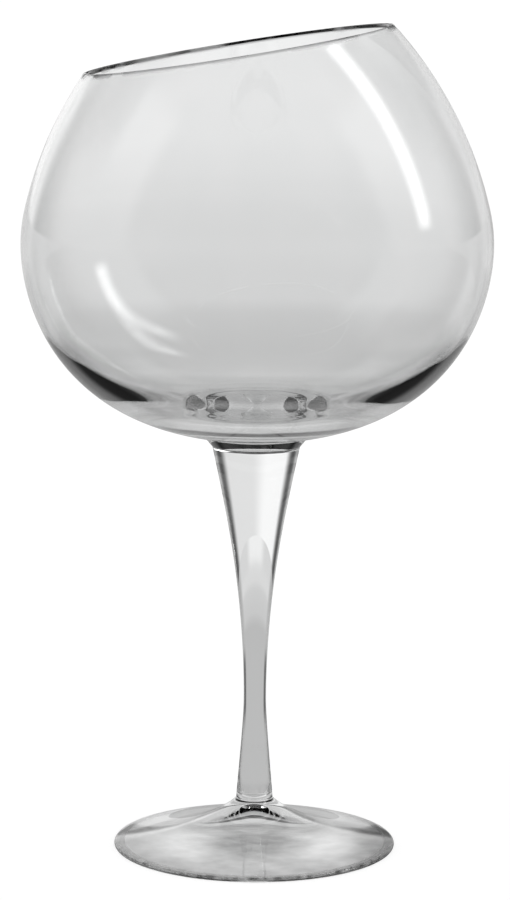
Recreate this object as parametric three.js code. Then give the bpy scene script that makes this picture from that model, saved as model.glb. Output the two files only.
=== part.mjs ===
// A large wine goblet of clear glass: a blown balloon bowl with a slanted mouth,
// a solid drawn stem and a spun foot. The three pieces of glass are joined hot,
// face to face, and nothing on the goblet moves.
//
// Sizes are real millimetres and +Z is up. The origin is the centre of the ring that the
// goblet stands on. Every piece is turned about the Z axis; only the mouth is slanted,
// with its high side towards +X.
import * as THREE from "three";

// Foot: a thin spun disc that rises to the stem, hollowed underneath to follow its top
const FOOT_RADIUS = 38.5;
const FOOT_EDGE_THICKNESS = 1.3;
const FOOT_HEIGHT = 13.3; // up to the face where the stem joins
const FOOT_EDGE_SLOPE = 8; // degrees, the top's rise where it leaves the edge
const FOOT_EDGE_REACH = 20; // how far that gentle slope carries inwards
const FOOT_NECK_SLOPE = 50; // degrees, the top's rise where it meets the stem
const FOOT_NECK_REACH = 4;
const REST_RING_WIDTH = 1.2; // the flat ring it stands on, inside the rounded edge
const HOLLOW_HEIGHT = 10; // rise of the hollow in the underside
const HOLLOW_SLOPE = 9; // degrees, the hollow's rise where it leaves the ring
const HOLLOW_EDGE_REACH = 24;
const HOLLOW_CROWN_REACH = 4; // how far its round crown carries outwards

// Stem: solid glass, drawn down to a waist above the foot and flared below the bowl, where
// a short collar spreads it further on to the bowl
const STEM_LENGTH = 100.7;
const STEM_BASE_RADIUS = 5;
const STEM_BASE_TAPER = 3.5; // degrees from upright
const STEM_BASE_REACH = 4;
const WAIST_RADIUS = 3.05;
const WAIST_HEIGHT = 27.5; // above the foot's joint
const WAIST_REACH_DOWN = 6;
const WAIST_REACH_UP = 30;
const COLLAR_HEIGHT = 3;
const COLLAR_FLARE = 33; // degrees from upright
const STEM_TOP_RADIUS = 14.4; // at the joint with the bowl
const STEM_TOP_FLARE = 12; // degrees from upright, below the collar
const STEM_TOP_REACH = 19;

// Bowl: the outside, from its flat joint with the stem up to the lip
const BOWL_RADIUS = 63.4; // at its widest
const BOWL_DEPTH = 52.8; // from its widest level down to its round bottom
const BOWL_SIDE_REACH = 18.6; // how far the upright side carries down
const BOWL_BOTTOM_REACH = 51.3; // how far the level bottom carries out
const SHOULDER_ARC_RADIUS = 42.3;
const SHOULDER_ARC_ANGLE = 13.2; // degrees, before the flatter arc takes over
const MOUTH_ARC_RADIUS = 108;
const RIM_RISE = 58.9; // from the widest level up to the lip's high side
const RIM_SLANT = 9.3; // degrees

// Bowl: the glass itself. Its thickness changes at radii that are taken on the outside.
const WALL = 1.5; // from the lip down to the widest level
const SWELL = 1.2; // how much thicker the glass is low in the bowl, where the side turns in
const SWELL_OUTER_RADIUS = 58.5; // where the swell begins
const SWELL_INNER_RADIUS = 43.5; // where it is full
const FLOOR_WALL = 1.5; // the floor round the button
const FLOOR_OUTER_RADIUS = 42; // where the swell begins to thin out towards the floor
const FLOOR_INNER_RADIUS = 24;
const BUTTON_RADIUS = 21; // the flat drop of glass on the floor, over the stem
const BUTTON_TOP_RADIUS = 16;
const BUTTON_HEIGHT = 2; // at the edge of its top
const BUTTON_DOME = 0.5; // what its top rises more to the middle

// Facets
const SEGMENTS = 64; // round the axis, alike on all pieces so that the joints match

const radians = THREE.MathUtils.degToRad;
const point = (radius, height) => new THREE.Vector2(radius, height);

// A step of the given length from a point, at an angle above the outward level.
function step(from, length, angle) {
  return point(
    from.x + length * Math.cos(radians(angle)),
    from.y + length * Math.sin(radians(angle)),
  );
}

// Points of an arc about a centre, from one angle to another above the outward level.
function arc(centre, radius, from, to, divisions) {
  const clockwise = to < from;
  const curve = new THREE.EllipseCurve(
    centre.x,
    centre.y,
    radius,
    radius,
    from,
    to,
    clockwise,
  );
  return curve.getPoints(divisions);
}

// Where along a curve, from 0 to 1, a measure of its point rises through zero.
function crossing(curve, measure) {
  const HALVINGS = 40;
  let low = 0;
  let high = 1;
  for (let i = 0; i < HALVINGS; i += 1) {
    const middle = (low + high) / 2;
    if (measure(curve.getPoint(middle)) < 0) low = middle;
    else high = middle;
  }
  return (low + high) / 2;
}

// Which way a cubic curve runs at a place on it.
function heading({ v0, v1, v2, v3 }, place) {
  const rest = 1 - place;
  return point(0, 0)
    .addScaledVector(v1.clone().sub(v0), rest * rest)
    .addScaledVector(v2.clone().sub(v1), 2 * rest * place)
    .addScaledVector(v3.clone().sub(v2), place * place)
    .normalize();
}

// Points of a curve between two places on it.
function stretch(curve, from, to, divisions) {
  const points = [];
  for (let i = 0; i <= divisions; i += 1) {
    points.push(curve.getPoint(from + ((to - from) * i) / divisions));
  }
  return points;
}

// A profile is a list of curves' points, laid end to end without doubled points.
function joined(...runs) {
  const NEAR = 1e-6;
  const profile = [];
  for (const p of runs.flat()) {
    const last = profile.at(-1);
    if (!last || last.distanceTo(p) > NEAR) profile.push(p);
  }
  return profile;
}

// A solid turned about the Z axis. The profile runs from the axis at the bottom to the axis
// at the top, and may differ from one azimuth to the next if it keeps its count of points.
function turned(profileAt) {
  const geometry = new THREE.LatheGeometry(profileAt(0), SEGMENTS);
  geometry.rotateX(Math.PI / 2);
  const position = geometry.getAttribute("position");
  const rings = position.count / (SEGMENTS + 1);
  for (let i = 0; i <= SEGMENTS; i += 1) {
    // The last column closes on the first, so it takes the same azimuth.
    const azimuth = ((i % SEGMENTS) * 2 * Math.PI) / SEGMENTS;
    profileAt(azimuth).forEach((p, ring) => {
      position.setXYZ(
        i * rings + ring,
        p.x * Math.cos(azimuth),
        p.x * Math.sin(azimuth),
        p.y,
      );
    });
  }
  geometry.computeVertexNormals();
  return geometry;
}

function clearGlass() {
  return new THREE.MeshStandardMaterial({
    color: 0xe9eded,
    roughness: 0.03,
    metalness: 0,
    transparent: true,
    opacity: 0.35,
    side: THREE.DoubleSide,
  });
}

function piece(name, profileAt, level) {
  const mesh = new THREE.Mesh(turned(profileAt), clearGlass());
  mesh.name = name;
  mesh.position.z = level;
  return mesh;
}

// The foot's profile: up from the crown of its hollow, out over the rest ring, round the
// edge and up its top to the joint with the stem.
function footProfile() {
  const edgeRadius = FOOT_EDGE_THICKNESS / 2;
  const edgeCentre = point(FOOT_RADIUS - edgeRadius, edgeRadius);
  const crown = point(0, HOLLOW_HEIGHT);
  const ringInside = point(edgeCentre.x - REST_RING_WIDTH, 0);
  const hollow = new THREE.CubicBezierCurve(
    crown,
    step(crown, HOLLOW_CROWN_REACH, 0),
    step(ringInside, HOLLOW_EDGE_REACH, 180 - HOLLOW_SLOPE),
    ringInside,
  );
  // The edge turns past upright, until it lies along the top's slope.
  const edgeEnd = radians(90 - FOOT_EDGE_SLOPE);
  const edge = arc(edgeCentre, edgeRadius, -Math.PI / 2, edgeEnd, 5);
  const neck = point(STEM_BASE_RADIUS, FOOT_HEIGHT);
  const top = new THREE.CubicBezierCurve(
    edge.at(-1),
    step(edge.at(-1), FOOT_EDGE_REACH, 180 - FOOT_EDGE_SLOPE),
    step(neck, FOOT_NECK_REACH, -FOOT_NECK_SLOPE),
    neck,
  );
  return joined(
    hollow.getPoints(10),
    edge,
    top.getPoints(10),
    [point(0, FOOT_HEIGHT)],
  );
}

// The stem's profile, from its flat joint with the foot to its flat joint with the bowl.
function stemProfile() {
  const base = point(STEM_BASE_RADIUS, 0);
  const waist = point(WAIST_RADIUS, WAIST_HEIGHT);
  const top = point(STEM_TOP_RADIUS, STEM_LENGTH);
  const collarSide = COLLAR_HEIGHT / Math.cos(radians(COLLAR_FLARE));
  const collar = step(top, collarSide, -90 - COLLAR_FLARE);
  const below = new THREE.CubicBezierCurve(
    base,
    step(base, STEM_BASE_REACH, 90 + STEM_BASE_TAPER),
    step(waist, WAIST_REACH_DOWN, -90),
    waist,
  );
  const above = new THREE.CubicBezierCurve(
    waist,
    step(waist, WAIST_REACH_UP, 90),
    step(collar, STEM_TOP_REACH, -90 - STEM_TOP_FLARE),
    collar,
  );
  return joined(
    [point(0, 0)],
    below.getPoints(6),
    above.getPoints(14),
    [top, point(0, STEM_LENGTH)],
  );
}

// The outside of the bowl's lower half, from the axis up to the widest level, which is at
// height 0.
function lowerHalf() {
  return new THREE.CubicBezierCurve(
    point(0, -BOWL_DEPTH),
    point(BOWL_BOTTOM_REACH, -BOWL_DEPTH),
    point(BOWL_RADIUS, -BOWL_SIDE_REACH),
    point(BOWL_RADIUS, 0),
  );
}

// The thickness of the bowl's lower half, square to its outside, at a radius there. It
// swells where the side turns in, thins out over the floor and rises to the button.
function thicknessAt(radius) {
  const within = (inner, outer) =>
    1 - THREE.MathUtils.smoothstep(radius, inner, outer);
  const swell = SWELL * within(SWELL_INNER_RADIUS, SWELL_OUTER_RADIUS);
  const thinning =
    (WALL + SWELL - FLOOR_WALL) * within(FLOOR_INNER_RADIUS, FLOOR_OUTER_RADIUS);
  const button = BUTTON_HEIGHT * within(BUTTON_TOP_RADIUS, BUTTON_RADIUS);
  const dome = BUTTON_DOME * Math.max(0, 1 - (radius / BUTTON_TOP_RADIUS) ** 2);
  return WALL + swell - thinning + button + dome;
}

// Points of the inside of the bowl's lower half, between two places on the outside.
function insideRun(outside, from, to, divisions) {
  return stretch(outside, from, to, divisions).map((p, i) => {
    const along = heading(outside, from + ((to - from) * i) / divisions);
    const inwards = point(-along.y, along.x);
    return p.addScaledVector(inwards, thicknessAt(p.x));
  });
}

// The bowl's profile at an azimuth: out over its joint with the stem, up the outside, over
// the rounded lip and down the inside to the middle of the floor.
function bowlProfiles() {
  const outside = lowerHalf();
  const placeAt = (radius) => crossing(outside, (p) => p.x - radius);
  const seat = placeAt(STEM_TOP_RADIUS);
  const seatHeight = outside.getPoint(seat).y;
  const buttonEdge = placeAt(BUTTON_RADIUS);
  const buttonTop = placeAt(BUTTON_TOP_RADIUS);

  // Two arcs make each side of the wall above the widest level, about shared centres.
  const shoulderCentre = point(BOWL_RADIUS - SHOULDER_ARC_RADIUS, 0);
  const shoulderEnd = radians(SHOULDER_ARC_ANGLE);
  const mouthCentre = step(
    shoulderCentre,
    MOUTH_ARC_RADIUS - SHOULDER_ARC_RADIUS,
    180 + SHOULDER_ARC_ANGLE,
  );

  // The lip's round edge is centred in the wall, on a plane slanted up towards +X.
  const lipRadius = WALL / 2;
  const middleRadius = MOUTH_ARC_RADIUS - lipRadius;
  const lipHeight = RIM_RISE - lipRadius;
  const highAngle = Math.asin((lipHeight - mouthCentre.y) / middleRadius);
  const highReach = mouthCentre.x + middleRadius * Math.cos(highAngle);
  const slope = Math.tan(radians(RIM_SLANT));
  const planeOnAxis = lipHeight - slope * highReach;

  return (azimuth) => {
    // On this azimuth the plane rises by this much for each millimetre outwards.
    const rise = slope * Math.cos(azimuth);
    const level = planeOnAxis + rise * mouthCentre.x - mouthCentre.y;
    const lipAngle =
      Math.atan(rise) + Math.asin(level / (middleRadius * Math.hypot(1, rise)));
    const lipCentre = point(
      mouthCentre.x + middleRadius * Math.cos(lipAngle),
      mouthCentre.y + middleRadius * Math.sin(lipAngle),
    );
    const outer = MOUTH_ARC_RADIUS;
    const inner = MOUTH_ARC_RADIUS - WALL;
    const profile = joined(
      [point(0, seatHeight)],
      stretch(outside, seat, 1, 12),
      arc(shoulderCentre, SHOULDER_ARC_RADIUS, 0, shoulderEnd, 2),
      arc(mouthCentre, outer, shoulderEnd, lipAngle, 7),
      arc(lipCentre, lipRadius, lipAngle, lipAngle + Math.PI, 6),
      arc(mouthCentre, inner, lipAngle, shoulderEnd, 7),
      arc(shoulderCentre, SHOULDER_ARC_RADIUS - WALL, shoulderEnd, 0, 2),
      insideRun(outside, 1, buttonEdge, 13),
      insideRun(outside, buttonEdge, buttonTop, 4),
      insideRun(outside, buttonTop, 0, 3),
    );
    return profile.map((p) => point(p.x, p.y - seatHeight));
  };
}

const goblet = new THREE.Group();
goblet.name = "goblet";
goblet.add(
  piece("foot", footProfile, 0),
  piece("stem", stemProfile, FOOT_HEIGHT),
  piece("bowl", bowlProfiles(), FOOT_HEIGHT + STEM_LENGTH),
);

export default goblet;
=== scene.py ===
import math

import bpy
from mathutils import Matrix, Vector


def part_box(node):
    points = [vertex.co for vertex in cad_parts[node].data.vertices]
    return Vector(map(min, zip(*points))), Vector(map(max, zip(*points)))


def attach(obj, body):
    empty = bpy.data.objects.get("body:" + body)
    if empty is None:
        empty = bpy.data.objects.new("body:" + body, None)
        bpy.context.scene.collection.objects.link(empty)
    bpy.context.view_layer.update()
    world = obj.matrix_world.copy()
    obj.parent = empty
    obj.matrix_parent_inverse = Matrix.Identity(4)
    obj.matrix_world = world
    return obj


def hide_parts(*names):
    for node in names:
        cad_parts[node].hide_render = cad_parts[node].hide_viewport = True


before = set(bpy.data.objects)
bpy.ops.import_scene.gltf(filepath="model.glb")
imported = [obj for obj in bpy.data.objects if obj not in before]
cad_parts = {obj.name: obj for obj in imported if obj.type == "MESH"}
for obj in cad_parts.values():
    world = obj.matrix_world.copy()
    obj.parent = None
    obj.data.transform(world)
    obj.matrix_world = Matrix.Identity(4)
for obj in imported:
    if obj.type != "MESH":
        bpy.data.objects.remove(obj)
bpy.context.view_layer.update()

# A large wine goblet of clear glass with a slanted mouth, standing in a white studio.
# Lengths are metres, in the frame of the solids: +Z up, the foot's ring on z = 0 and the
# high side of the mouth towards +X.
MM = 0.001

# Foot, stem and bowl, as far as the solids' boxes give their sizes
foot_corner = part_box("foot")[1]
stem_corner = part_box("stem")[1]
bowl_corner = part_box("bowl")[1]
FOOT_RADIUS = foot_corner.x
FOOT_HEIGHT = foot_corner.z
STEM_TOP = stem_corner.z
STEM_TOP_RADIUS = stem_corner.x
BOWL_RADIUS = bowl_corner.x
LIP_TOP = bowl_corner.z

# Foot: a thin spun disc that rises to the stem, hollowed underneath to follow its top
FOOT_EDGE_THICKNESS = 1.3 * MM
FOOT_EDGE_SLOPE = 8  # degrees, the top's rise where it leaves the edge
FOOT_EDGE_REACH = 20 * MM
FOOT_NECK_SLOPE = 50  # degrees, the top's rise where it meets the stem
FOOT_NECK_REACH = 4 * MM
REST_RING_WIDTH = 1.2 * MM
HOLLOW_HEIGHT = 10 * MM
HOLLOW_SLOPE = 9  # degrees
HOLLOW_EDGE_REACH = 24 * MM
HOLLOW_CROWN_REACH = 4 * MM

# Stem: solid glass, drawn down to a waist above the foot and flared below the bowl
STEM_BASE_RADIUS = 5 * MM
STEM_BASE_TAPER = 3.5  # degrees from upright
STEM_BASE_REACH = 4 * MM
WAIST_RADIUS = 3.05 * MM
WAIST_HEIGHT = 27.5 * MM  # above the foot's joint
WAIST_REACH_DOWN = 6 * MM
WAIST_REACH_UP = 30 * MM
COLLAR_HEIGHT = 3 * MM  # where the stem spreads on to the bowl
COLLAR_FLARE = 40  # degrees from upright
STEM_TOP_FLARE = 12  # degrees from upright, below the collar
STEM_TOP_REACH = 19 * MM

# Bowl: the outside, from its flat joint with the stem up to the lip
BOWL_DEPTH = 52.8 * MM
BOWL_SIDE_REACH = 18.6 * MM
BOWL_BOTTOM_REACH = 51.3 * MM
SHOULDER_ARC_RADIUS = 42.3 * MM
SHOULDER_ARC_ANGLE = 13.2  # degrees
MOUTH_ARC_RADIUS = 108 * MM
RIM_RISE = 58.9 * MM
RIM_SLANT = 9.3  # degrees

# Bowl: the glass itself. Its thickness changes at radii that are taken on the outside.
WALL = 1.5 * MM
SWELL = 1.2 * MM  # how much thicker the glass is low in the bowl, where the side turns in
SWELL_OUTER_RADIUS = 58.5 * MM
SWELL_INNER_RADIUS = 43.5 * MM
FLOOR_WALL = 1.5 * MM
FLOOR_OUTER_RADIUS = 42 * MM
FLOOR_INNER_RADIUS = 24 * MM
BUTTON_RADIUS = 21 * MM  # the flat drop of glass on the floor, over the stem
BUTTON_TOP_RADIUS = 16 * MM
BUTTON_HEIGHT = 2 * MM
BUTTON_DOME = 0.5 * MM

# Fineness of the turned surfaces
COLUMNS = 288  # round the axis
STEP = 0.6 * MM  # between rings, about
EDGE_STEPS = 12  # round the foot's edge
LIP_STEPS = 16  # over the lip
FLUSH = 0.0001 * MM  # heights that differ by less are the same

# Glass
GLASS_IOR = 1.52
WAVES = (60.0, 60.0, 18.0)  # in a metre, along each axis
WAVE_STRENGTH = 0.05
WAVE_DEPTH = 1 * MM
WAVE_TINTS = [  # the waves' height, and the colour that the glass has there
    (0.35, (0.975, 0.98, 0.98)), (0.65, (0.99, 0.992, 0.992)),
]

# Lip: where the flame leaves it cloudy, measured along the axis from the slanted plane
HIGH_SIDE_REACH = 35.6 * MM  # the lip's highest point is this far from the axis
LIP_LEVEL = LIP_TOP - math.tan(math.radians(RIM_SLANT)) * HIGH_SIDE_REACH
LIP_DEPTH = 1.6 * MM
LIP_CLOUD = 0.75  # roughness
LIP_PATCHES = 95.0  # in a metre
LIP_PATCH_EDGE = (0.4, 0.55)  # the noise at which a patch starts and is full

# The ring that the foot stands on
SCUFFED_HEIGHT = 0.35 * MM  # the foot's underside is dull up to this height
SCUFFED_TINT = (0.98, 0.98, 0.98, 1)
SCUFFED_ROUGHNESS = (0.35, 0.8)
SCRATCHES = 400.0  # in a metre
SCRATCH_EDGE = (0.3, 0.7)  # the noise at which the glass is smoothest and roughest


# Profiles

def point(radius, height):
    return Vector((radius, height))


def step(start, length, angle):
    """The point a length away from start, at an angle in degrees above the outward level."""
    turn = math.radians(angle)
    return start + length * Vector((math.cos(turn), math.sin(turn)))


def divisions(length):
    return max(6, round(length / STEP))


def arc(centre, radius, start, end, count=None):
    """Points of an arc from one angle to another, in radians above the outward level."""
    count = count or divisions(radius * abs(end - start))
    turns = [start + (end - start) * i / count for i in range(count + 1)]
    return [centre + radius * Vector((math.cos(t), math.sin(t))) for t in turns]


def bezier_at(handles, t):
    a, b, c, d = handles
    s = 1 - t
    return s**3 * a + 3 * s * s * t * b + 3 * s * t * t * c + t**3 * d


def bezier_heading(handles, t):
    """Which way a cubic curve runs at a place on it."""
    a, b, c, d = handles
    s = 1 - t
    return (s * s * (b - a) + 2 * s * t * (c - b) + t * t * (d - c)).normalized()


def places(handles, start, end):
    """Places along a cubic curve, from one to another."""
    count = divisions((handles[3] - handles[0]).length * abs(end - start))
    return [start + (end - start) * i / count for i in range(count + 1)]


def bezier(handles, start=0.0, end=1.0):
    """Points of a cubic curve between two places on it."""
    return [bezier_at(handles, t) for t in places(handles, start, end)]


def crossing(handles, radius):
    """Where on a curve that widens steadily its radius passes the given one."""
    low, high = 0.0, 1.0
    for _ in range(40):
        middle = (low + high) / 2
        if bezier_at(handles, middle).x < radius:
            low = middle
        else:
            high = middle
    return (low + high) / 2


def joined(*runs):
    """The runs of points laid end to end, without doubled points."""
    near = 0.001 * MM
    profile = []
    for run in runs:
        for p in run:
            if not profile or (p - profile[-1]).length > near:
                profile.append(p)
    return profile


def level_run(start, end):
    """Points along a straight flat face."""
    count = divisions((end - start).length)
    return [start.lerp(end, i / count) for i in range(count + 1)]


def foot_profile():
    edge_radius = FOOT_EDGE_THICKNESS / 2
    edge_centre = point(FOOT_RADIUS - edge_radius, edge_radius)
    crown = point(0, HOLLOW_HEIGHT)
    ring_inside = point(edge_centre.x - REST_RING_WIDTH, 0)
    ring_outside = point(edge_centre.x, 0)
    hollow = (
        crown,
        step(crown, HOLLOW_CROWN_REACH, 0),
        step(ring_inside, HOLLOW_EDGE_REACH, 180 - HOLLOW_SLOPE),
        ring_inside,
    )
    edge_end = math.radians(90 - FOOT_EDGE_SLOPE)
    edge = arc(edge_centre, edge_radius, -math.pi / 2, edge_end, EDGE_STEPS)
    neck = point(STEM_BASE_RADIUS, FOOT_HEIGHT)
    top = (
        edge[-1],
        step(edge[-1], FOOT_EDGE_REACH, 180 - FOOT_EDGE_SLOPE),
        step(neck, FOOT_NECK_REACH, -FOOT_NECK_SLOPE),
        neck,
    )
    return joined(
        bezier(hollow),
        level_run(ring_inside, ring_outside),
        edge,
        bezier(top),
        level_run(neck, point(0, FOOT_HEIGHT)),
    )


def stem_profile():
    base = point(STEM_BASE_RADIUS, FOOT_HEIGHT)
    waist = point(WAIST_RADIUS, FOOT_HEIGHT + WAIST_HEIGHT)
    top = point(STEM_TOP_RADIUS, STEM_TOP)
    collar_side = COLLAR_HEIGHT / math.cos(math.radians(COLLAR_FLARE))
    collar = step(top, collar_side, -90 - COLLAR_FLARE)
    below = (
        base,
        step(base, STEM_BASE_REACH, 90 + STEM_BASE_TAPER),
        step(waist, WAIST_REACH_DOWN, -90),
        waist,
    )
    above = (
        waist,
        step(waist, WAIST_REACH_UP, 90),
        step(collar, STEM_TOP_REACH, -90 - STEM_TOP_FLARE),
        collar,
    )
    return joined(
        level_run(point(0, FOOT_HEIGHT), base),
        bezier(below),
        bezier(above),
        level_run(collar, top),
        level_run(top, point(0, STEM_TOP)),
    )


def lower_half():
    """The outside of the bowl's lower half, up to its widest level, which is at height 0."""
    return (
        point(0, -BOWL_DEPTH),
        point(BOWL_BOTTOM_REACH, -BOWL_DEPTH),
        point(BOWL_RADIUS, -BOWL_SIDE_REACH),
        point(BOWL_RADIUS, 0),
    )


def within(radius, inner, outer):
    """1 inside the inner radius and 0 outside the outer one, with a smooth change between."""
    t = min(1, max(0, (outer - radius) / (outer - inner)))
    return t * t * (3 - 2 * t)


def thickness_at(radius):
    """The thickness of the bowl's lower half, square to its outside, at a radius there. It
    swells where the side turns in, thins out over the floor and rises to the button."""
    swell = SWELL * within(radius, SWELL_INNER_RADIUS, SWELL_OUTER_RADIUS)
    full = WALL + SWELL - FLOOR_WALL
    thinning = full * within(radius, FLOOR_INNER_RADIUS, FLOOR_OUTER_RADIUS)
    button = BUTTON_HEIGHT * within(radius, BUTTON_TOP_RADIUS, BUTTON_RADIUS)
    dome = BUTTON_DOME * max(0, 1 - (radius / BUTTON_TOP_RADIUS) ** 2)
    return WALL + swell - thinning + button + dome


def inside_run(outside):
    """Points of the inside of the bowl's lower half, from its widest level to the axis."""
    run = []
    for t in places(outside, 1, 0):
        p = bezier_at(outside, t)
        along = bezier_heading(outside, t)
        inwards = Vector((-along.y, along.x))
        run.append(p + thickness_at(p.x) * inwards)
    return run


def bowl_profiles():
    """The bowl's profile as a function of azimuth, because its mouth is slanted."""
    outside = lower_half()
    seat = crossing(outside, STEM_TOP_RADIUS)
    seat_height = bezier_at(outside, seat).y
    widest = point(0, STEM_TOP - seat_height)

    shoulder_centre = point(BOWL_RADIUS - SHOULDER_ARC_RADIUS, 0)
    shoulder_end = math.radians(SHOULDER_ARC_ANGLE)
    mouth_centre = step(
        shoulder_centre,
        MOUTH_ARC_RADIUS - SHOULDER_ARC_RADIUS,
        180 + SHOULDER_ARC_ANGLE,
    )

    # The lip's round edge is centred in the wall, on a plane slanted up towards +X.
    lip_radius = WALL / 2
    middle_radius = MOUTH_ARC_RADIUS - lip_radius
    lip_height = RIM_RISE - lip_radius
    high_angle = math.asin((lip_height - mouth_centre.y) / middle_radius)
    high_reach = mouth_centre.x + middle_radius * math.cos(high_angle)
    slope = math.tan(math.radians(RIM_SLANT))
    plane_on_axis = lip_height - slope * high_reach

    shoulder_count = divisions(SHOULDER_ARC_RADIUS * shoulder_end)
    mouth_count = divisions(RIM_RISE)

    def profile_at(azimuth):
        rise = slope * math.cos(azimuth)
        level = plane_on_axis + rise * mouth_centre.x - mouth_centre.y
        lip_angle = math.atan(rise) + math.asin(level / (middle_radius * math.hypot(1, rise)))
        lip_centre = mouth_centre + middle_radius * Vector((math.cos(lip_angle), math.sin(lip_angle)))
        outer = MOUTH_ARC_RADIUS
        inner = MOUTH_ARC_RADIUS - WALL
        profile = joined(
            level_run(point(0, seat_height), point(STEM_TOP_RADIUS, seat_height)),
            bezier(outside, seat, 1),
            arc(shoulder_centre, SHOULDER_ARC_RADIUS, 0, shoulder_end, shoulder_count),
            arc(mouth_centre, outer, shoulder_end, lip_angle, mouth_count),
            arc(lip_centre, lip_radius, lip_angle, lip_angle + math.pi, LIP_STEPS),
            arc(mouth_centre, inner, lip_angle, shoulder_end, mouth_count),
            arc(shoulder_centre, SHOULDER_ARC_RADIUS - WALL, shoulder_end, 0, shoulder_count),
            inside_run(outside),
        )
        return [p + widest for p in profile]

    return profile_at


# Pieces of glass

def turned(name, profile_at, joints):
    """A closed solid turned about the Z axis. Its faces at the heights named in joints lie
    against the next piece of glass, and get the second material. The faces that lie lowest
    of all are scuffed by the table, and get the third."""
    profiles = [profile_at(2 * math.pi * i / COLUMNS) for i in range(COLUMNS)]
    rings = len(profiles[0]) - 2
    vertices = [(0, 0, profiles[0][0].y), (0, 0, profiles[0][-1].y)]
    for i, profile in enumerate(profiles):
        azimuth = 2 * math.pi * i / COLUMNS
        for p in profile[1:-1]:
            vertices.append((p.x * math.cos(azimuth), p.x * math.sin(azimuth), p.y))
    faces = []
    for i in range(COLUMNS):
        here = 2 + i * rings
        there = 2 + (i + 1) % COLUMNS * rings
        faces.append((0, there, here))
        faces.append((1, here + rings - 1, there + rings - 1))
        for k in range(rings - 1):
            faces.append((here + k, there + k, there + k + 1, here + k + 1))
    mesh = bpy.data.meshes.new(name)
    mesh.from_pydata(vertices, [], faces)
    mesh.update()
    for polygon in mesh.polygons:
        heights = [mesh.vertices[v].co.z for v in polygon.vertices]
        flat = max(heights) - min(heights) < FLUSH
        joint = flat and any(abs(heights[0] - z) < FLUSH for z in joints)
        scuffed = max(heights) < SCUFFED_HEIGHT
        polygon.use_smooth = not flat
        polygon.material_index = 1 if joint else 2 if scuffed else 0
    piece = bpy.data.objects.new(name, mesh)
    bpy.context.scene.collection.objects.link(piece)
    return piece


# Materials

class Wire:
    """An output socket that Python's arithmetic works on, by adding Math nodes."""

    def __init__(self, graph, socket):
        self.graph = graph
        self.socket = socket

    def math(self, operation, *operands):
        return self.graph.node("ShaderNodeMath", {"operation": operation}, dict(enumerate(operands)))

    def __add__(self, other):
        return self.math("ADD", self, other)

    def __radd__(self, other):
        return self.math("ADD", other, self)

    def __sub__(self, other):
        return self.math("SUBTRACT", self, other)

    def __rsub__(self, other):
        return self.math("SUBTRACT", other, self)

    def __mul__(self, other):
        return self.math("MULTIPLY", self, other)

    def __rmul__(self, other):
        return self.math("MULTIPLY", other, self)

    def __truediv__(self, other):
        return self.math("DIVIDE", self, other)

    def __abs__(self):
        return self.math("ABSOLUTE", self)

    def most(self, other):
        return self.math("MAXIMUM", self, other)

    def ranged(self, start, end, first=0.0, last=1.0, interpolation="SMOOTHSTEP"):
        """The first value before start and the last after end, and a change between them."""
        return self.graph.node(
            "ShaderNodeMapRange",
            {"interpolation_type": interpolation},
            {"Value": self, "From Min": start, "From Max": end, "To Min": first, "To Max": last},
        )

    def rises(self, start, end):
        """0 before start and 1 after end, with a smooth change between them."""
        return self.ranged(start, end)

    def falls(self, start, end):
        """1 before start and 0 after end, with a smooth change between them."""
        return 1 - self.rises(start, end)

    def between(self, low, high, softness):
        """1 between two limits and 0 outside them, with soft edges."""
        return self.rises(low - softness, low + softness) * self.falls(high - softness, high + softness)


class Graph:
    """A node tree that is filled one node at a time."""

    def __init__(self, owner):
        owner.use_nodes = True
        self.tree = owner.node_tree
        self.tree.nodes.clear()

    def node(self, kind, settings=None, inputs=None, output=0):
        """Adds a node: its settings first, then the values or wires of its sockets."""
        made = self.tree.nodes.new(kind)
        for name, value in (settings or {}).items():
            if name == "stops":
                self.set_stops(made.color_ramp, value)
            else:
                setattr(made, name, value)
        for key, value in (inputs or {}).items():
            socket = made.inputs[key]
            if isinstance(value, Wire):
                self.tree.links.new(value.socket, socket)
            else:
                socket.default_value = value
        if not made.outputs:
            return made
        if isinstance(output, tuple):
            return [Wire(self, made.outputs[name]) for name in output]
        return Wire(self, made.outputs[output])

    @staticmethod
    def set_stops(ramp, stops):
        while len(ramp.elements) > 1:
            ramp.elements.remove(ramp.elements[-1])
        for i, (place, value) in enumerate(stops):
            element = ramp.elements[0] if i == 0 else ramp.elements.new(place)
            element.position = place
            element.color = (*value, 1) if isinstance(value, tuple) else (value, value, value, 1)


def new_material(name):
    material = bpy.data.materials.new(name)
    return material, Graph(material)


def noise(graph, place, scale, detail):
    return graph.node("ShaderNodeTexNoise", {}, {"Vector": place, "Scale": scale, "Detail": detail})


def finish_glass(graph, sockets):
    """Ends a material as solid glass, whose sockets are given where they aren't plain."""
    glass = {"IOR": GLASS_IOR, "Transmission Weight": 1.0}
    shader = graph.node("ShaderNodeBsdfPrincipled", {}, {**glass, **sockets})
    graph.node("ShaderNodeOutputMaterial", {}, {"Surface": shader})


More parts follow.
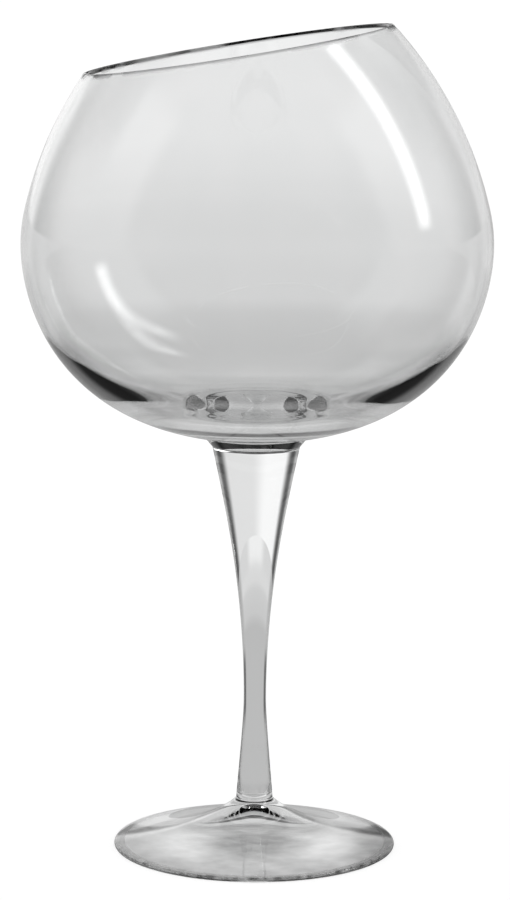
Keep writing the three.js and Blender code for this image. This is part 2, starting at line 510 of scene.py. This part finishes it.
def clear_glass():
    """Colourless glass, fire-polished, with the faint waves that drawing and blowing leave
    and a lip that is a little cloudy where the flame lingered."""
    material, graph = new_material("clear_glass")
    place = graph.node("ShaderNodeTexCoord", output="Object")
    stretched = graph.node("ShaderNodeMapping", {}, {"Vector": place, "Scale": WAVES})
    waves = noise(graph, stretched, 1.0, 1.0)
    x, z = graph.node("ShaderNodeSeparateXYZ", {}, {0: place}, output=("X", "Z"))
    over_lip = z - math.tan(math.radians(RIM_SLANT)) * x
    lip = over_lip.rises(LIP_LEVEL - LIP_DEPTH, LIP_LEVEL)
    patches = noise(graph, place, LIP_PATCHES, 1.0).rises(*LIP_PATCH_EDGE)
    bump = {"Strength": WAVE_STRENGTH, "Distance": WAVE_DEPTH, "Height": waves}
    sockets = {
        "Base Color": graph.node("ShaderNodeValToRGB", {"stops": WAVE_TINTS}, {"Fac": waves}),
        "Roughness": LIP_CLOUD * lip * patches,
        "Normal": graph.node("ShaderNodeBump", {}, bump),
    }
    finish_glass(graph, sockets)
    return material


def scuffed_glass():
    """The ring that the goblet stands on, dulled in patches by sliding over tables."""
    material, graph = new_material("scuffed_glass")
    place = graph.node("ShaderNodeTexCoord", output="Object")
    scratches = noise(graph, place, SCRATCHES, 3.0)
    sockets = {
        "Base Color": SCUFFED_TINT,
        "Roughness": scratches.ranged(*SCRATCH_EDGE, *SCUFFED_ROUGHNESS, interpolation="LINEAR"),
    }
    finish_glass(graph, sockets)
    return material


def hot_joint():
    """Where two pieces of glass are joined hot there is no surface left for light to meet."""
    material, graph = new_material("hot_joint")
    shader = graph.node("ShaderNodeBsdfPrincipled", {}, {"Alpha": 0.0})
    graph.node("ShaderNodeOutputMaterial", {}, {"Surface": shader})
    return material


def make_goblet():
    finishes = (clear_glass(), hot_joint(), scuffed_glass())
    for name, node, profile_at, joints in (
        ("foot_glass", "foot", lambda azimuth: foot_profile(), (FOOT_HEIGHT,)),
        ("stem_glass", "stem", lambda azimuth: stem_profile(), (FOOT_HEIGHT, STEM_TOP)),
        ("bowl_glass", "bowl", bowl_profiles(), (STEM_TOP,)),
    ):
        piece = turned(name, profile_at, joints)
        for finish in finishes:
            piece.data.materials.append(finish)
        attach(piece, "root")
        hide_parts(node)


# Studio: a white backdrop behind the goblet, between dark panels, over a floor that grows
# lighter with distance. Greys are shares of white. Reaches are metres from the goblet's axis.
# Angles on the floor and widths in the room are sines of the angle from straight behind.
# The greys that the glass sees were matched to the photo's greys, with a fit of the light as
# a guide, and rounded. No real studio was measured.

WHITE = (1, 1, 1, 1)
PLAIN_GREY = 0.8  # of the floor and the room, to rays that have met no glass
BACK_HALF_WIDTH = 0.64  # of the backdrop
BACK_SOFTNESS = 0.08

# Floor
FLOOR_RADIUS = 30.0
FLOOR_DROP = 0.05 * MM  # the floor lies this far under the foot's ring
FLOOR_WHITE = 0.8  # what it gives off to the camera
FLOOR_SHADED = 0.3  # the colour of what it reflects, which the goblet's shadow darkens
FLOOR_SEEN_TO = 4.0  # the reach over which the floor's greys are given, as the glass sees it
FLOOR_GREYS = [  # place, as a share of that reach, and grey
    (0.0, 0.51), (0.12, 0.5), (0.15, 0.6), (0.24, 0.65), (0.29, 0.73), (0.4, 0.755),
    (0.475, 0.79), (0.575, 0.86), (0.7, 0.91), (1.0, 0.93),
]
NEAR_REACH = (0.35, 0.6)  # past this the greys span only as far as the backdrop
SIDE_GREY = 0.5  # of the floor at the sides and in front
FLANK_GREY = 0.72  # of the far floor to both sides of the middle
FLANK_ANGLES = (0.12, 0.3)  # where it starts and is full
FLANK_REACH = (1.2, 2.0)

# What the foot stands over: greys painted on the floor in place of the foot's own caustic,
# light to the left and right and dim in the middle, as the foot looks in the photo
FOOT_SHADE_RADIUS = 38 * MM
FOOT_SHADE_END = 49.4 * MM
FOOT_SHADES = [  # place, as a share of the radius, and grey
    (0.0, 0.36), (0.25, 0.42), (0.5, 0.52), (0.7, 0.55), (0.85, 0.5), (1.0, 0.45),
]
FOOT_GLOW = 0.3  # how much lighter it is to the left and right
FOOT_GLOW_ANGLES = (0.4, 1.0)
FOOT_GLOW_RADIUS = 20 * MM
FOOT_GLOW_REACH = 12 * MM
FOOT_DIM = 0.35  # how much darker it is at the far right
FOOT_DIM_PLACES = (0.6, 0.95)  # as shares of the radius
FOOT_CAUSTIC_MOTTLE = 0.4  # how uneven it is
FOOT_CAUSTIC_MOTTLES = 160.0  # patches in a metre

# Dark flags on the floor, left and right behind the goblet, as studios use for glass. Only
# the glass sees them: they draw the dark crescents low in the bowl.
FLAG_GREY = 0.09
FLAG_ANGLES = (0.66, 0.93)
FLAG_SOFTNESS = 0.08
FLAG_NEAR = 0.10
FLAG_FAR = 0.35
FLAG_FADE = 0.25  # of its near and far edges, as a share of their reach

# Room: heights are degrees above the level
BACKDROP_LEFT = 1.02
BACKDROP_RIGHT = 0.8
BACKDROP_TURN = (-0.2, 0.08)  # the widths between which the one becomes the other
WALL_GREY = 0.6
PANEL_GREY = 0.1
PANEL_WIDTHS = (0.64, 0.88)
PANEL_SOFTNESS = 0.1
CEILING_GREY = 0.62  # over the backdrop
CEILING_HEIGHTS = (13, 17)
OVERHEAD_GREY = 0.03
OVERHEAD_HEIGHTS = (42, 52)
FRONT_GREY = 0.45
FRONT_HEIGHTS = (4, 26)  # where it darkens to the grey overhead
FRONT_TURN = (-0.45, -0.3)  # how far forward it starts
SPOT_HEIGHT = 10.5  # of a dark spot, put there for the foot's neck to show
SPOT_REACH = (0.16, 0.07)
SPOT_EDGE = (0.5, 1.2)  # where it fades out, as squares of shares of its reach

# The softbox stands on the right and leans back a little
SOFTBOX_STRENGTH = 5.0
SOFTBOX_BACK = 0.015  # how far it stands behind the goblet
SOFTBOX_LEAN = 0.07  # how far it leans back for its rise
SOFTBOX_HALF_WIDTH = 0.06
SOFTBOX_SOFTNESS = 0.06
SOFTBOX_LOW = (9, 15)
SOFTBOX_HIGH = (56, 68)


def sines(angles):
    return [math.sin(math.radians(angle)) for angle in angles]


def mixed(factor, first, second):
    """The first grey where the factor is 0 and the second where it is 1."""
    return first + factor * (second - first)


def ray_kinds(graph):
    """Whether the camera sees this directly, and whether it is seen in or through glass."""
    camera, glossy, through = graph.node(
        "ShaderNodeLightPath",
        output=("Is Camera Ray", "Is Glossy Ray", "Is Transmission Ray"),
    )
    return camera, glossy.most(through)


def by_ray(graph, plain, in_glass, seen):
    """The shader for plain rays, for rays that have met glass and for the camera."""
    camera, glass = ray_kinds(graph)
    unseen = graph.node("ShaderNodeMixShader", {}, {"Fac": glass, 1: plain, 2: in_glass})
    return graph.node("ShaderNodeMixShader", {}, {"Fac": camera, 1: unseen, 2: seen})


def backdrop_span(x, y, reach):
    """1 where the white backdrop spans, for a direction or place with a given reach."""
    half = BACK_HALF_WIDTH * reach
    soft = BACK_SOFTNESS * reach
    return ((abs(x) - half) / soft).falls(-1.0, 1.0) * (y / soft).rises(0.0, 2.0)


def flags(angle, y, distance):
    """1 on the two flags, which fade out at their edges."""
    flag = angle.between(*FLAG_ANGLES, FLAG_SOFTNESS) * y.rises(0.0, 10 * MM)
    flag = flag * distance.rises((1 - FLAG_FADE) * FLAG_NEAR, (1 + FLAG_FADE) * FLAG_NEAR)
    return flag * distance.falls((1 - FLAG_FADE) * FLAG_FAR, (1 + FLAG_FADE) * FLAG_FAR)


def under_foot(graph, position, x, distance):
    """The painted caustic on the floor under the foot, with its painted mottle, light to the sides and
    dim in the middle, as its glass shows it.
    """
    radius = distance / FOOT_SHADE_RADIUS
    shade = graph.node("ShaderNodeValToRGB", {"stops": FOOT_SHADES}, {"Fac": radius})
    sideways = abs(x) / distance.most(1 * MM)
    ring = (abs(distance - FOOT_GLOW_RADIUS) / FOOT_GLOW_REACH).falls(0.0, 1.0)
    glow = FOOT_GLOW * ring * sideways.rises(*FOOT_GLOW_ANGLES)
    dim = FOOT_DIM * (x / FOOT_SHADE_RADIUS).rises(*FOOT_DIM_PLACES)
    caustic_mottle = FOOT_CAUSTIC_MOTTLE * (noise(graph, position, FOOT_CAUSTIC_MOTTLES, 2.0) - 0.5)
    return (shade + glow - dim + caustic_mottle).most(0.0)


def floor_grey(graph, position):
    """The grey of the floor at a place, as the glass sees it."""
    distance = graph.node("ShaderNodeVectorMath", {"operation": "LENGTH"}, {0: position}, output="Value")
    x, y = graph.node("ShaderNodeSeparateXYZ", {}, {0: position}, output=("X", "Y"))
    greys = graph.node("ShaderNodeValToRGB", {"stops": FLOOR_GREYS}, {"Fac": distance / FLOOR_SEEN_TO})
    angle = abs(x) / distance
    flank = angle.rises(*FLANK_ANGLES) * distance.rises(*FLANK_REACH)
    back = backdrop_span(x, y, distance).most(distance.falls(*NEAR_REACH))
    grey = mixed(back, SIDE_GREY, mixed(flank, greys, FLANK_GREY))
    grey = mixed(flags(angle, y, distance), grey, FLAG_GREY)
    past_foot = distance.rises(FOOT_SHADE_RADIUS, FOOT_SHADE_END)
    return mixed(past_foot, under_foot(graph, position, x, distance), grey)


def floor_material():
    """White to the camera, with the goblet's soft shadow, and grey in and through the glass."""
    material, graph = new_material("studio_floor")
    position = graph.node("ShaderNodeNewGeometry", output="Position")

    def matt(grey):
        return graph.node("ShaderNodeBsdfDiffuse", {}, {"Color": (grey, grey, grey, 1)})

    def lit(grey):
        return graph.node("ShaderNodeEmission", {}, {"Color": WHITE, "Strength": grey})

    seen = graph.node("ShaderNodeAddShader", {}, {0: matt(FLOOR_SHADED), 1: lit(FLOOR_WHITE)})
    surface = by_ray(graph, matt(PLAIN_GREY), lit(floor_grey(graph, position)), seen)
    graph.node("ShaderNodeOutputMaterial", {}, {"Surface": surface})
    return material


def make_floor():
    corners = 96
    turns = [2 * math.pi * i / corners for i in range(corners)]
    rim = [(FLOOR_RADIUS * math.cos(t), FLOOR_RADIUS * math.sin(t), -FLOOR_DROP) for t in turns]
    mesh = bpy.data.meshes.new("studio_floor")
    mesh.from_pydata(rim, [], [tuple(range(corners))])
    floor = bpy.data.objects.new("studio_floor", mesh)
    bpy.context.scene.collection.objects.link(floor)
    mesh.materials.append(floor_material())


def softbox(x, y, z):
    """1 where the softbox is, with soft edges."""
    off_middle = abs(y - SOFTBOX_BACK - SOFTBOX_LEAN * z)
    inner = SOFTBOX_HALF_WIDTH - SOFTBOX_SOFTNESS
    outer = SOFTBOX_HALF_WIDTH + SOFTBOX_SOFTNESS
    height = z.rises(*sines(SOFTBOX_LOW)) * z.falls(*sines(SOFTBOX_HIGH))
    return off_middle.falls(inner, outer) * height * x.rises(0.0, 0.1)


def room_grey(x, y, z):
    """The grey of the room in a direction, as the glass sees it."""
    behind = y.rises(0.0, 0.1)
    across = x / SPOT_REACH[0]
    along = (z - sines([SPOT_HEIGHT])[0]) / SPOT_REACH[1]
    spot = (across * across + along * along).falls(*SPOT_EDGE) * behind
    panel = abs(x).between(*PANEL_WIDTHS, PANEL_SOFTNESS) * behind
    grey = x.ranged(*BACKDROP_TURN, BACKDROP_LEFT, BACKDROP_RIGHT)
    grey = mixed(z.rises(*sines(CEILING_HEIGHTS)), grey, CEILING_GREY)
    grey = mixed(spot, grey, OVERHEAD_GREY)
    grey = mixed(backdrop_span(x, y, 1.0), WALL_GREY, grey)
    grey = mixed(panel, grey, PANEL_GREY)
    front = z.ranged(*sines(FRONT_HEIGHTS), FRONT_GREY, OVERHEAD_GREY)
    grey = mixed(y.falls(*FRONT_TURN), grey, front)
    grey = mixed(z.rises(*sines(OVERHEAD_HEIGHTS)), grey, OVERHEAD_GREY)
    return mixed(softbox(x, y, z), grey, SOFTBOX_STRENGTH)


def make_world():
    """White to the camera, a plain even light, and the studio's room in and through the glass."""
    world = bpy.data.worlds.new("studio")
    bpy.context.scene.world = world
    graph = Graph(world)
    direction = graph.node("ShaderNodeTexCoord", output="Generated")
    x, y, z = graph.node("ShaderNodeSeparateXYZ", {}, {0: direction}, output=("X", "Y", "Z"))

    def lit(grey):
        return graph.node("ShaderNodeBackground", {}, {"Color": WHITE, "Strength": grey})

    surface = by_ray(graph, lit(PLAIN_GREY), lit(room_grey(x, y, z)), lit(1.0))
    graph.node("ShaderNodeOutputWorld", {}, {"Surface": surface})


# Camera, worked out from the foot's ellipse and the outline in the photograph

IMAGE_HEIGHT = 900  # pixels
FOCAL_PIXELS = 3557
CAMERA_PLACE = (0, -0.950, 0.266)
CAMERA_PITCH = -9.33  # degrees above the level
CAMERA_ROLL = 0.31  # degrees, to the left
AXIS_OFFSET = 1.2  # pixels, the goblet's axis right of the picture's middle


def make_camera():
    data = bpy.data.cameras.new("camera")
    data.sensor_width = 36.0
    data.lens = FOCAL_PIXELS / IMAGE_HEIGHT * data.sensor_width
    data.shift_x = -AXIS_OFFSET / IMAGE_HEIGHT
    data.clip_start = 0.01
    data.clip_end = 200.0
    camera = bpy.data.objects.new("camera", data)
    tilt = Matrix.Rotation(math.radians(90 + CAMERA_PITCH), 4, "X")
    roll = Matrix.Rotation(math.radians(CAMERA_ROLL), 4, "Z")
    camera.matrix_world = Matrix.Translation(CAMERA_PLACE) @ tilt @ roll
    bpy.context.scene.collection.objects.link(camera)
    bpy.context.scene.camera = camera


make_goblet()
make_floor()
make_world()
make_camera()
bpy.context.scene.view_settings.view_transform = "Standard"
